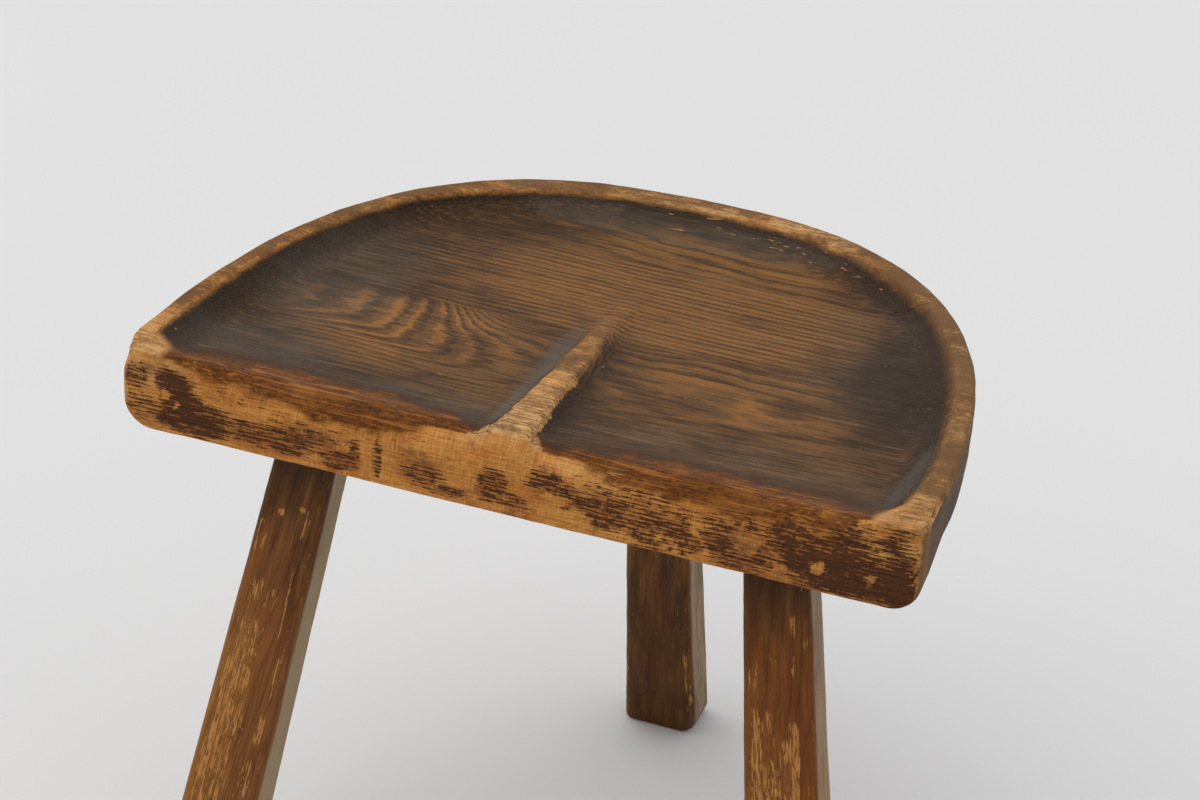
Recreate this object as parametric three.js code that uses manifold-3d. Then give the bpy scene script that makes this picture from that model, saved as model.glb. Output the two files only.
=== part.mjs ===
// Three-legged wooden stool. Three boards glued edge to edge make a thick seat, carved to a
// dish with a raised rim and a central ridge, which stands on three splayed legs set in
// blind, fox-wedged mortises.
// Millimetres, +Z up. The straight front edge faces -Y and the round side faces +Y.
import * as THREE from 'three';
import { mergeVertices } from 'three/addons/utils/BufferGeometryUtils.js';
import Module from 'manifold-3d';

const wasm = await Module();
wasm.setup();

// Seat blank, and the boards that it is glued up from, counted from the front
const seatWidth = 450;
const seatDepth = 327;
const seatThickness = 49;
const seatHeight = 386;
const frontBoardWidth = 148;
const middleBoardWidth = 100;
const endFullness = 2.5;
const backFullness = 2.7;
const cornerRadius = 7;
const underRadius = 23;
const rimEdgeRadius = 3.5;

// Carved dish: flat rim, steep wall, shallow floor and a lip that rolls over the front
const rimWidth = 11;
const rearRimWidth = 17;
const wallWidth = 28;
const wallCurve = 2.5;
const dishDepth = 12.5;
const lipDepth = 8;
const lipLength = 62;
const lipSpread = 75;
const lipRollRadius = 17;

// Ridge between the two hollows: broad at the front, sinking into the floor at its tail
const ridgeLength = 208;
const ridgeDrop = 3;
const ridgeFrontWidth = 24;
const ridgeTailWidth = 6;
const ridgeLeftFlank = 15;
const ridgeRightFlank = 10;
const ridgeTailFlank = 8;

// Legs: a rounded rectangle that grows towards the foot, all leaning by one angle. Their
// heads are placed from the seat's ends and its front and back edges.
const legTopWidth = 36;
const legFootWidth = 50;
const legTopDepth = 26;
const legFootDepth = 35;
const legCornerRadius = 5.5;
const footEase = 2;
const legLean = THREE.MathUtils.degToRad(13.1);
const frontLegTurn = THREE.MathUtils.degToRad(45);
const frontLegEndInset = 92;
const frontLegSetback = 68;
const rearLegBackInset = 75;

// Blind round tenons, spread by a fox wedge that bears on the mortise's floor
const tenonDiameter = 21;
const tenonLength = 26;
const tenonSpread = 2.4;
const wedgeLength = 17;
const wedgeWidth = 15;
const wedgeThick = 3.2;
const wedgeThin = 0.9;

// Gap left between two touching pieces
const fitGap = 0.3;

// How finely the curves are divided
const curveSteps = 64;
const cornerSteps = 3;
const roundSteps = 4;
const tenonSides = 28;
const edgeRings = 12;
const floorRings = 9;

const halfWidth = seatWidth / 2;
const undersideHeight = seatHeight - seatThickness;
const frontLegSpread = halfWidth - frontLegEndInset;
const rearLegSetback = seatDepth - rearLegBackInset;

const smooth = (value) => THREE.MathUtils.smoothstep(value, 0, 1);
const lerp = THREE.MathUtils.lerp;

// A point of the round side, a half superellipse, for an angle from 0 (right) to PI (left)
function sidePoint(angle, inset = 0) {
  const c = Math.cos(angle);
  const s = Math.sin(angle);
  const x = Math.sign(c) * (halfWidth - inset) * Math.abs(c) ** (2 / endFullness);
  const y = (seatDepth - inset) * s ** (2 / backFullness);
  return new THREE.Vector2(x, y);
}

const sideCurve = [];
for (let i = 0; i <= 4 * curveSteps; i++) {
  sideCurve.push(sidePoint((Math.PI * i) / (4 * curveSteps)));
}

// How far a point of the seat's plan lies inside the round side
function depthInside(x, y) {
  let best = halfWidth - Math.abs(x);
  if (y < 0) {
    return best;
  }
  for (const point of sideCurve) {
    best = Math.min(best, Math.hypot(point.x - x, point.y - y));
  }
  return best;
}

// The carved top as a height over the plan, before its outer edges are rounded
function topHeight(x, y) {
  const rim = lerp(rimWidth, rearRimWidth, smooth((y / seatDepth - 0.7) / 0.2));
  const inside = Math.max(depthInside(x, y) - rim, 0);
  const cove = 1 - Math.max(1 - inside / wallWidth, 0) ** wallCurve;
  const carved = lerp(smooth(inside / lipSpread), cove, smooth((2 * y) / lipLength));
  const floor = lerp(lipDepth, dishDepth, smooth(y / lipLength));
  const dish = -floor * carved;
  const along = THREE.MathUtils.clamp(y / ridgeLength, 0, 1);
  const crest = lerp(-ridgeDrop, -dishDepth, along ** 1.3);
  const halfTop = lerp(ridgeFrontWidth, ridgeTailWidth, along) / 2;
  const flankWidth = lerp(x < 0 ? ridgeLeftFlank : ridgeRightFlank, ridgeTailFlank, along);
  const flank = 1 - smooth((Math.abs(x) - 0.6 * halfTop) / flankWidth);
  return seatHeight + Math.max(dish, lerp(dish, crest, flank));
}

// The radius that rounds the top edge: large on the front lip, small where the rim ends
function topEdgeRadius(point) {
  if (point.side !== 'front') {
    return rimEdgeRadius;
  }
  const fromRim = halfWidth - Math.abs(point.x) - rimWidth;
  return lerp(rimEdgeRadius, lipRollRadius, smooth(fromRim / lipSpread));
}

// The seat's plan outline as points with inward normals, the round side drawn in by an inset
function seatOutline(inset) {
  const points = [];
  const add = (x, y, nx, ny, side) => points.push({ x, y, nx, ny, side });
  const edge = halfWidth - inset;
  const start = Math.asin((cornerRadius / seatDepth) ** (backFullness / 2));
  for (let i = 0; i <= curveSteps; i++) {
    const angle = lerp(start, Math.PI - start, i / curveSteps);
    const point = sidePoint(angle, inset);
    const tangent = sidePoint(Math.min(angle + 0.001, Math.PI)).sub(sidePoint(angle - 0.001));
    tangent.normalize();
    add(point.x, point.y, -tangent.y, tangent.x, 'round');
  }
  const corner = (sign, from, to) => {
    for (let i = 1; i < cornerSteps; i++) {
      const turn = lerp(from, to, i / cornerSteps);
      const x = sign * (edge - cornerRadius) + cornerRadius * Math.cos(turn);
      const y = cornerRadius * (1 + Math.sin(turn));
      add(x, y, -Math.cos(turn), -Math.sin(turn), 'corner');
    }
  };
  corner(-1, Math.PI, 1.5 * Math.PI);
  for (const share of frontStations) {
    add(share * (edge - cornerRadius), 0, 0, 1, 'front');
  }
  corner(1, 1.5 * Math.PI, 2 * Math.PI);
  return points;
}

// Places along the front edge, closer together across the ridge and where the rim ends
const frontStations = [];
{
  const reach = halfWidth - cornerRadius;
  const ridgeZone = (ridgeFrontWidth / 2 + ridgeLeftFlank) / reach;
  const rimZone = (reach - rimWidth - lipSpread) / reach;
  const zones = [[0, ridgeZone, 6], [ridgeZone, rimZone, 5], [rimZone, 1, 9]];
  for (const [from, to, count] of zones) {
    for (let i = 0; i < count; i++) {
      frontStations.push(lerp(from, to, i / count));
    }
  }
  frontStations.push(1);
  frontStations.push(...frontStations.slice(1).map((share) => -share));
  frontStations.sort((a, b) => a - b);
}

// A closed surface from rings of equal length, with a point at each end
function loft(rings, first, last) {
  const vertices = [];
  const triangles = [];
  const count = rings[0].length;
  for (const ring of rings) {
    for (const point of ring) {
      vertices.push(point.x, point.y, point.z);
    }
  }
  for (let k = 0; k + 1 < rings.length; k++) {
    for (let i = 0; i < count; i++) {
      const j = (i + 1) % count;
      const a = k * count + i;
      const b = k * count + j;
      triangles.push(a, b, b + count, a, b + count, a + count);
    }
  }
  const firstIndex = vertices.length / 3;
  vertices.push(first.x, first.y, first.z, last.x, last.y, last.z);
  const top = (rings.length - 1) * count;
  for (let i = 0; i < count; i++) {
    const j = (i + 1) % count;
    triangles.push(firstIndex, j, i, firstIndex + 1, top + i, top + j);
  }
  const geometry = new THREE.BufferGeometry();
  geometry.setAttribute('position', new THREE.Float32BufferAttribute(vertices, 3));
  geometry.setIndex(triangles);
  return geometry;
}

function toSolid(geometry) {
  geometry.deleteAttribute('normal');
  geometry.deleteAttribute('uv');
  const merged = mergeVertices(geometry, 1e-4);
  const vertProperties = Float32Array.from(merged.attributes.position.array);
  const triVerts = Uint32Array.from(merged.index.array);
  return new wasm.Manifold(new wasm.Mesh({ numProp: 3, vertProperties, triVerts }));
}

function toGeometry(solid) {
  const mesh = solid.getMesh();
  const geometry = new THREE.BufferGeometry();
  geometry.setAttribute('position', new THREE.BufferAttribute(mesh.vertProperties, 3));
  geometry.setIndex(new THREE.BufferAttribute(mesh.triVerts, 1));
  const flat = geometry.toNonIndexed();
  flat.computeVertexNormals();
  return flat;
}

function wood(colour, roughness) {
  return new THREE.MeshStandardMaterial({ color: colour, roughness, metalness: 0 });
}

function place(name, geometry, material) {
  const mesh = new THREE.Mesh(geometry, material);
  mesh.name = name;
  return mesh;
}

// How far along its way to the pole a ring lies: evenly spaced over the wall, then sparser
function inwardShare(ring, distance) {
  const wallShare = (1.2 * (rimWidth + wallWidth)) / distance;
  if (ring <= edgeRings) {
    return (wallShare * ring) / edgeRings;
  }
  return lerp(wallShare, 1, ((ring - edgeRings) / floorRings) ** 1.2);
}

// Seat: rings climb from the underside round the edge, then close in over the carved top
function seatSolid() {
  const rings = [];
  const level = (outline, height) => outline.map((p) => new THREE.Vector3(p.x, p.y, height));
  for (let k = 0; k <= roundSteps + 1; k++) {
    const turn = (Math.PI / 2) * (k / (roundSteps + 1));
    const inset = underRadius * (1 - Math.sin(turn));
    const height = undersideHeight + underRadius * (1 - Math.cos(turn));
    rings.push(level(seatOutline(inset), height));
  }
  const outline = seatOutline(0);
  for (let k = 0; k <= roundSteps; k++) {
    const turn = (Math.PI / 2) * (k / roundSteps);
    rings.push(outline.map((p) => {
      const radius = topEdgeRadius(p);
      const inset = radius * (1 - Math.cos(turn));
      const edge = topHeight(p.x + p.nx * radius, p.y + p.ny * radius);
      const height = edge - radius * (1 - Math.sin(turn));
      return new THREE.Vector3(p.x + p.nx * inset, p.y + p.ny * inset, height);
    }));
  }
  const pole = new THREE.Vector3(0, ridgeLength, topHeight(0, ridgeLength));
  const start = rings[rings.length - 1];
  for (let i = 1; i < edgeRings + floorRings; i++) {
    rings.push(start.map((p) => {
      const share = inwardShare(i, Math.hypot(p.x - pole.x, p.y - pole.y));
      const x = lerp(p.x, pole.x, share);
      const y = lerp(p.y, pole.y, share);
      return new THREE.Vector3(x, y, topHeight(x, y));
    }));
  }
  return toSolid(loft(rings, new THREE.Vector3(0, ridgeLength, undersideHeight), pole));
}

// One board of the glued-up seat: the carved blank between two joint lines
function boardSolid(seat, from, to) {
  const slab = new THREE.BoxGeometry(2 * seatWidth, to - from - fitGap, 2 * seatHeight);
  slab.translate(0, (from + to) / 2, seatHeight);
  return seat.intersect(toSolid(slab));
}

// The frame of one leg: its axis climbs from the foot to the seat's underside
function legFrame(spread, setback, heading) {
  const head = new THREE.Vector3(spread, setback, undersideHeight);
  const lean = Math.tan(legLean);
  const run = new THREE.Vector3(Math.sin(heading) * lean, Math.cos(heading) * lean, -1);
  const foot = head.clone().addScaledVector(run, undersideHeight);
  const axis = head.clone().sub(foot).normalize();
  const across = new THREE.Vector3(1, 0, 0).addScaledVector(axis, -axis.x).normalize();
  const through = axis.clone().cross(across);
  return { head, foot, axis, across, through, length: head.distanceTo(foot) };
}

// A section of the leg cut level at a height, by sliding each corner line along the axis
function legRing(frame, height, ease) {
  const ring = [];
  for (let quarter = 0; quarter < 4; quarter++) {
    for (let i = 0; i <= roundSteps; i++) {
      const turn = (Math.PI / 2) * (quarter + i / roundSteps);
      const signX = quarter === 0 || quarter === 3 ? 1 : -1;
      const signY = quarter < 2 ? 1 : -1;
      const bowX = (legCornerRadius - ease) * Math.cos(turn) - signX * legCornerRadius;
      const bowY = (legCornerRadius - ease) * Math.sin(turn) - signY * legCornerRadius;
      const footX = (signX * legFootWidth) / 2 + bowX;
      const footY = (signY * legFootDepth) / 2 + bowY;
      const growX = (signX * (legTopWidth - legFootWidth)) / 2 / frame.length;
      const growY = (signY * (legTopDepth - legFootDepth)) / 2 / frame.length;
      const start = frame.foot.clone().addScaledVector(frame.across, footX);
      start.addScaledVector(frame.through, footY);
      const slope = frame.axis.clone().addScaledVector(frame.across, growX);
      slope.addScaledVector(frame.through, growY);
      ring.push(start.addScaledVector(slope, (height - start.z) / slope.z));
    }
  }
  return ring;
}

function centreOf(ring) {
  const sum = new THREE.Vector3();
  ring.forEach((point) => sum.add(point));
  return sum.divideScalar(ring.length);
}

// A round tenon along the leg's axis, spread at its tip, or the mortise that takes it
function tenonSolid(frame, extra) {
  const rings = [];
  const root = -0.5 * legTopDepth;
  for (const along of [root, 0, tenonLength + extra]) {
    const spread = along > 0 ? tenonSpread : 0;
    const centre = frame.head.clone().addScaledVector(frame.axis, along);
    const ring = [];
    for (let i = 0; i < tenonSides; i++) {
      const turn = (2 * Math.PI * i) / tenonSides;
      const wide = (tenonDiameter + spread) / 2 + extra;
      const deep = tenonDiameter / 2 + extra;
      const point = centre.clone().addScaledVector(frame.across, wide * Math.cos(turn));
      ring.push(point.addScaledVector(frame.through, deep * Math.sin(turn)));
    }
    rings.push(ring);
  }
  return toSolid(loft(rings, centreOf(rings[0]), centreOf(rings[2])));
}

// The fox wedge, thick at the tenon's tip, or with extra room the saw cut that it opens
function wedgeSolid(frame, extra) {
  const rings = [];
  const tip = tenonLength + (extra > 0 ? 1 : 0);
  const grow = (wedgeThick - wedgeThin) / wedgeLength;
  for (const along of [tenonLength - wedgeLength - extra, tip]) {
    const half = (wedgeThick + grow * (along - tenonLength)) / 2 + extra;
    const wide = wedgeWidth / 2 + (extra > 0 ? tenonDiameter : 0);
    const centre = frame.head.clone().addScaledVector(frame.axis, along);
    const ring = [[1, 1], [-1, 1], [-1, -1], [1, -1]].map(([sx, sy]) => {
      const point = centre.clone().addScaledVector(frame.across, sx * half);
      return point.addScaledVector(frame.through, sy * wide);
    });
    rings.push(ring);
  }
  return toSolid(loft(rings, centreOf(rings[0]), centreOf(rings[1])));
}

// Leg: eased foot, straight tapering sides, a level shoulder and the split tenon
function legSolid(frame) {
  const shoulder = undersideHeight - fitGap;
  const rings = [legRing(frame, 0, footEase), legRing(frame, footEase, 0)];
  rings.push(legRing(frame, shoulder, 0));
  const stick = toSolid(loft(rings, centreOf(rings[0]), centreOf(rings[2])));
  return stick.add(tenonSolid(frame, 0)).subtract(wedgeSolid(frame, fitGap));
}

const legs = [
  ['front_left', legFrame(-frontLegSpread, frontLegSetback, Math.PI + frontLegTurn)],
  ['front_right', legFrame(frontLegSpread, frontLegSetback, Math.PI - frontLegTurn)],
  ['rear', legFrame(0, rearLegSetback, 0)],
];

const stool = new THREE.Group();
let seat = seatSolid();
for (const [corner, frame] of legs) {
  seat = seat.subtract(tenonSolid(frame, fitGap));
  stool.add(place(`leg_${corner}`, toGeometry(legSolid(frame)), wood(0x5a3a22, 0.5)));
  stool.add(place(`wedge_${corner}`, toGeometry(wedgeSolid(frame, 0)), wood(0xb48a5a, 0.7)));
}
const middleJoint = frontBoardWidth + middleBoardWidth;
const boards = [
  ['front', -seatDepth, frontBoardWidth],
  ['middle', frontBoardWidth, middleJoint],
  ['rear', middleJoint, 2 * seatDepth],
];
for (const [name, from, to] of boards) {
  const board = toGeometry(boardSolid(seat, from, to));
  stool.add(place(`seat_board_${name}`, board, wood(0x5c4634, 0.5)));
}

// The origin is the centre of the footprint, on the floor
const bounds = new THREE.Box3().setFromObject(stool);
stool.position.y = -(bounds.min.y + bounds.max.y) / 2;

const group = new THREE.Group();
group.add(stool);

export default group;
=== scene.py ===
"""Worn three-legged stool with a carved seat, dressed for the photograph.

The shape code works in millimetres in the stool's own frame: y = 0 is the straight front edge of
the seat, x = 0 is the line of its ridge and z = 0 is the floor. Meshes are written in metres in
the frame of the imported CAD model.
"""
import math
from functools import partial, reduce
from types import SimpleNamespace

import bpy
import numpy as np
from mathutils import Matrix, Vector
from mathutils.geometry import delaunay_2d_cdt
from mathutils.kdtree import KDTree


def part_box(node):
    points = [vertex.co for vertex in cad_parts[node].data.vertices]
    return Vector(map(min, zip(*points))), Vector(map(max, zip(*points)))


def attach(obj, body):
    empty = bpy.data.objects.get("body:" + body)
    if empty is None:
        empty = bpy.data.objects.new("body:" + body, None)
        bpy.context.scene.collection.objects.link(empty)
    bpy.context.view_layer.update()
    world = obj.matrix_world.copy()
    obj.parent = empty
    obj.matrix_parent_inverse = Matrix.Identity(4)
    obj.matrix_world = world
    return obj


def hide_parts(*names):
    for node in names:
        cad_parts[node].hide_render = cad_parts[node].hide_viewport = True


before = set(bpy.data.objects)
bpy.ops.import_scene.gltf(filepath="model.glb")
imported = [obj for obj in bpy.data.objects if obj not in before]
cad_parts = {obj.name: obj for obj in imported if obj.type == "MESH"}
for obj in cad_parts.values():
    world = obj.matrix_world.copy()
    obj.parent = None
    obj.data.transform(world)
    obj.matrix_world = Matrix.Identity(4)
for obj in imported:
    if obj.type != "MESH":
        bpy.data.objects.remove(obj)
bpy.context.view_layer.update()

MM = 0.001
FRONT_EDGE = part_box("seat_board_front")[0].y / MM

# Seat, in millimetres, apart from the fullnesses, the curve and the share
SEAT_WIDTH = 450
SEAT_DEPTH = 327
SEAT_HEIGHT = 386
SEAT_THICKNESS = 49
END_FULLNESS = 2.5
BACK_FULLNESS = 2.7
CORNER_RADIUS = 7
UNDER_RADIUS = 23
LEFT_CORNER_UNDER = 17
RIGHT_CORNER_UNDER = 12
UNDER_FRONT_RADIUS = 1.8
FRONT_UNDER_SHARE = 0.7
RIM_EDGE_RADIUS = 3.5
RIM_WIDTH = 11
REAR_RIM_WIDTH = 17
RIM_FLARE = 5
WALL_WIDTH = 28
WALL_CURVE = 2.5
DISH_DEPTH = 12.5
LIP_DEPTH = 8
LIP_LENGTH = 62
LIP_SPREAD = 75
LIP_ROLL = 17
RIDGE_LENGTH = 208
RIDGE_DROP = 3
RIDGE_FRONT_WIDTH = 24
RIDGE_TAIL_WIDTH = 6
RIDGE_FLARE = 14
RIDGE_LEFT_FLANK = 15
RIDGE_RIGHT_FLANK = 10
RIDGE_TAIL_FLANK = 8
CORNER_DENT = 5.5
CORNER_DENT_REACH = 20
GLUE_LINES = (148, 248)
GLUE_GAP = 0.3

# Legs, in millimetres
LEG_TOP = (36, 26)
LEG_FOOT = (50, 35)
LEG_CORNER = 5.5
FOOT_EASE = 2
FOOT_ROUND = (3.5, 9)
LEG_LEAN = math.radians(13.1)
FRONT_LEG_TURN = math.radians(45)
FRONT_LEG_HEAD = (133, 68)
REAR_LEG_HEAD = (0, 252)
TENON_RADIUS = 10.5
TENON_LENGTH = 26
TENON_SPREAD = 1.2
WEDGE_LENGTH = 17
WEDGE_WIDTH = 15
WEDGE_THICK = 3.2
WEDGE_THIN = 0.9

# Mesh spacing, in millimetres
FINE = 1.6
MEDIUM = 2.1
COARSE = 7
FINE_ROWS_REACH = 30

SHARP_ANGLE = math.radians(38)
HALF_WIDTH = SEAT_WIDTH / 2
UNDERSIDE = SEAT_HEIGHT - SEAT_THICKNESS
OFFSET = np.array([0, FRONT_EDGE, 0])


def smooth(value):
    """Eases from 0 to 1 as value goes from 0 to 1"""
    value = np.clip(value, 0, 1)
    return value * value * (3 - 2 * value)


def ramp(value, start, length):
    """Eases from 0 to 1 over a length of value that begins at start"""
    return smooth((value - start) / length)


def fade(value, start, length):
    """Eases from 1 to 0 over a length of value that begins at start"""
    return 1 - ramp(value, start, length)


def lerp(a, b, share):
    return a + (b - a) * share


def patch(x, y, centre, size):
    """1 inside an ellipse, easing to 0 at its edge"""
    reach = np.hypot((x - centre[0]) / size[0], (y - centre[1]) / size[1])
    return fade(reach, 0.55, 0.9)


def patches(x, y, places):
    """The strongest of several patches: x and y of the middle, half sizes, amount"""
    return np.maximum.reduce([amount * patch(x, y, (px, py), (rx, ry))
                              for px, py, rx, ry, amount in places])


def ripple(points, size, seed, waves=18):
    """A smooth random field with a spread of about 1, which changes over size millimetres"""
    rng = np.random.default_rng(seed)
    turns = rng.normal(size=(waves, 3))
    turns /= np.linalg.norm(turns, axis=1)[:, None]
    turns *= (2 * math.pi * rng.uniform(0.6, 1.5, waves))[:, None]
    phase = rng.uniform(0, 2 * math.pi, waves)
    return np.sin((points / size) @ turns.T + phase).sum(1) / math.sqrt(waves / 2)


def plan_tree(points):
    tree = KDTree(len(points))
    for index, (x, y) in enumerate(points):
        tree.insert((x, y, 0), index)
    tree.balance()
    return tree


def quad(count, ring, i, j):
    """The face between points i and j of a ring and the same points of the next ring"""
    low, high = ring * count, (ring + 1) * count
    return low + i, low + j, high + j, high + i


# Seat shape

def side_point(angle):
    """The round side, from its right end at 0 to its left end at pi"""
    c, s = np.cos(angle), np.sin(angle)
    y = SEAT_DEPTH * np.abs(s) ** (2 / BACK_FULLNESS)
    return np.stack([np.sign(c) * HALF_WIDTH * np.abs(c) ** (2 / END_FULLNESS), y], -1)


SIDE_TREE = plan_tree(side_point(np.linspace(0, math.pi, 2400)))


def depth_inside(x, y):
    """How far points of the plan lie inside the round side"""
    nearest = [SIDE_TREE.find((px, py, 0))[2] for px, py in zip(x, y)]
    return np.minimum(HALF_WIDTH - np.abs(x), nearest)


def ridge_half_top(y):
    """Half the width of the ridge's flat top, which flares into the front"""
    flare = RIDGE_FLARE * fade(y, -4, 26)
    width = lerp(RIDGE_FRONT_WIDTH, RIDGE_TAIL_WIDTH, np.clip(y / RIDGE_LENGTH, 0, 1))
    return width / 2 + flare


def rim_width(x, y):
    """The rim's flat top: wider behind, and flared at the right front corner"""
    flare = RIM_FLARE * fade(y, 0, 80) * smooth(x / 100)
    return lerp(RIM_WIDTH, REAR_RIM_WIDTH, ramp(y / SEAT_DEPTH, 0.7, 0.2)) + flare


def top_height(x, y):
    """The carved top, before its outer edges are rounded"""
    inside = np.maximum(depth_inside(x, y) - rim_width(x, y), 0)
    cove = 1 - np.maximum(1 - inside / WALL_WIDTH, 0) ** WALL_CURVE
    carved = lerp(smooth(inside / LIP_SPREAD), cove, smooth(2 * y / LIP_LENGTH))
    floor = lerp(LIP_DEPTH, DISH_DEPTH, smooth(y / LIP_LENGTH))
    dish = -floor * carved
    along = np.clip(y / RIDGE_LENGTH, 0, 1)
    crest = lerp(-RIDGE_DROP, -DISH_DEPTH, along ** 1.3)
    front_flank = np.where(x < 0, RIDGE_LEFT_FLANK, RIDGE_RIGHT_FLANK)
    flank_width = lerp(front_flank, RIDGE_TAIL_FLANK, along)
    flank = fade(np.abs(x), 0.6 * ridge_half_top(y), flank_width)
    return SEAT_HEIGHT + np.maximum(dish, lerp(dish, crest, flank))


def plan_outline():
    """Evenly spaced points round the seat, the ways inward and of the underside's draw-in,
    and how far each point belongs to the front"""
    start = math.asin((CORNER_RADIUS / SEAT_DEPTH) ** (BACK_FULLNESS / 2))
    side = side_point(np.linspace(start, math.pi - start, 3000))
    reach = HALF_WIDTH - CORNER_RADIUS

    def corner(sign, begin):
        turn = np.linspace(begin, begin + math.pi / 2, 40)
        x = sign * reach + CORNER_RADIUS * np.cos(turn)
        return np.stack([x, CORNER_RADIUS * (1 + np.sin(turn))], -1)

    line = np.vstack([side, corner(-1, math.pi)[1:], corner(1, 1.5 * math.pi)[:-1], side[:1]])
    steps = np.linalg.norm(np.diff(line, axis=0), axis=1)
    travel = np.concatenate([[0], np.cumsum(steps)])
    count = round(travel[-1] / MEDIUM)
    places = np.arange(count) * travel[-1] / count
    points = np.stack([np.interp(places, travel, line[:, k]) for k in (0, 1)], -1)
    tangent = np.roll(points, -1, 0) - np.roll(points, 1, 0)
    tangent /= np.linalg.norm(tangent, axis=1)[:, None]
    inward = np.stack([-tangent[:, 1], tangent[:, 0]], -1)
    draw = inward.copy()
    flat = points[:, 1] < CORNER_RADIUS
    draw[flat, 0] = -np.clip(points[flat, 0] / reach, -1, 1)
    draw[flat, 1] = 0
    front = np.where(flat, inward[:, 1], 0)
    return points, inward, draw, front


def is_inside(edge, point):
    """Whether a point lies inside a closed edge"""
    following = np.roll(edge, -1, 0)
    crosses = (edge[:, 1] > point[1]) != (following[:, 1] > point[1])
    start, end = edge[crosses], following[crosses]
    share = (point[1] - start[:, 1]) / (end[:, 1] - start[:, 1])
    return np.sum(start[:, 0] + share * (end[:, 0] - start[:, 0]) > point[0]) % 2 == 1


def fill_plan(edge, interior):
    """Triangulates the plan inside edge with extra points: all the points, and the faces"""
    count = len(edge)
    points = [tuple(p) for p in np.vstack([edge, interior])]
    sides = [(i, (i + 1) % count) for i in range(count)]
    found, _, faces, origin, _, _ = delaunay_2d_cdt(points, sides, [], 1, 1e-6, True)
    assert len(found) == len(points)
    back = [source[0] for source in origin]
    kept = []
    for face in faces:
        a, b, c = corners = [back[i] for i in face]
        (ax, ay), (bx, by), (cx, cy) = (points[i] for i in corners)
        if (bx - ax) * (cy - ay) < (by - ay) * (cx - ax):
            b, c = c, b
        middle = ((ax + bx + cx) / 3, (ay + by + cy) / 3)
        if max(corners) >= count or is_inside(edge, middle):
            kept.append([a, b, c])
    return kept


def hex_grid(low, high, spacing):
    """Points of a triangular grid between two corners"""
    rows = np.arange(low[1], high[1], spacing * math.sqrt(0.75))
    columns = np.arange(low[0], high[0], spacing)
    return np.array([(x + spacing / 2 * (k % 2), y) for k, y in enumerate(rows) for x in columns])


def inner_points(edge, inward, fine_reach, spacing):
    """Points inside a closed edge: rows along it as far as fine_reach, then an even grid"""
    tree = plan_tree(edge)
    kept = []
    for row in np.arange(FINE, fine_reach, FINE):
        for x, y in edge + inward * row:
            if tree.find((x, y, 0))[2] > 0.985 * row:
                kept.append((x, y))
    for x, y in hex_grid(edge.min(0), edge.max(0), spacing):
        nearest, index, distance = tree.find((x, y, 0))
        side = (Vector((x, y)) - nearest.xy).dot(Vector(inward[index]))
        if side > 0 and distance > fine_reach + 0.5 * spacing:
            kept.append((x, y))
    return np.array(kept)


def side_rings(points, inward, draw, front):
    """Rings up the seat's side, from its underside to its top, and the top's edge in plan"""
    rings = []
    corner = lerp(LEFT_CORNER_UNDER, RIGHT_CORNER_UNDER, ramp(points[:, 0], -100, 200))
    curve = lerp(corner, UNDER_RADIUS, smooth(points[:, 1] / 60))
    share_of_curve = lerp(1, FRONT_UNDER_SHARE, front)
    for turn in np.linspace(0, math.pi / 2, 15):
        rise = curve * (1 - math.cos(turn))
        side_inset = (curve * (1 - math.sin(turn)))[:, None]
        low = np.minimum(rise / UNDER_FRONT_RADIUS, 1)
        front_inset = UNDER_FRONT_RADIUS * (1 - np.sqrt(1 - (1 - low) ** 2)) * front
        plan = points + draw * side_inset + np.stack([0 * front, front_inset], -1)
        rings.append(np.column_stack([plan, UNDERSIDE + rise * share_of_curve]))

    from_rim = HALF_WIDTH - np.abs(points[:, 0]) - RIM_WIDTH
    roll = lerp(RIM_EDGE_RADIUS, LIP_ROLL, smooth(from_rim / LIP_SPREAD))
    radius = np.where(points[:, 1] < 0.01, roll, RIM_EDGE_RADIUS)
    edge = points + inward * radius[:, None]
    edge_height = top_height(edge[:, 0], edge[:, 1])
    for share in np.linspace(0, 1, 12)[1:]:
        height = lerp(UNDERSIDE + curve * share_of_curve, edge_height - radius, share)
        rings.append(np.column_stack([points, height]))
    for turn in np.linspace(0, math.pi / 2, 9)[1:]:
        plan = points + inward * (radius * (1 - math.cos(turn)))[:, None]
        rings.append(np.column_stack([plan, edge_height - radius * (1 - math.sin(turn))]))
    return rings, edge


def seat_blank():
    """The carved seat before it is parted into boards: points and faces"""
    points, inward, draw, front = plan_outline()
    rings, edge = side_rings(points, inward, draw, front)
    count = len(points)
    faces = []
    for k in range(len(rings) - 1):
        for i in range(count):
            faces.append(quad(count, k, i, (i + 1) % count))

    top_plan = inner_points(edge, inward, FINE_ROWS_REACH, MEDIUM)
    top_first = (len(rings) - 1) * count
    extra_first = len(rings) * count
    top = np.column_stack([top_plan, top_height(top_plan[:, 0], top_plan[:, 1])])
    for face in fill_plan(edge, top_plan):
        faces.append([top_first + i if i < count else extra_first + i - count for i in face])

    base = rings[0][:, :2]
    under_plan = inner_points(base, inward, FINE, COARSE)
    under_first = extra_first + len(top)
    under = np.column_stack([under_plan, np.full(len(under_plan), UNDERSIDE)])
    for face in fill_plan(base, under_plan):
        faces.append([i if i < count else under_first + i - count for i in face][::-1])
    return np.vstack([*rings, top, under]), faces


# Leg shape

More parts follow.
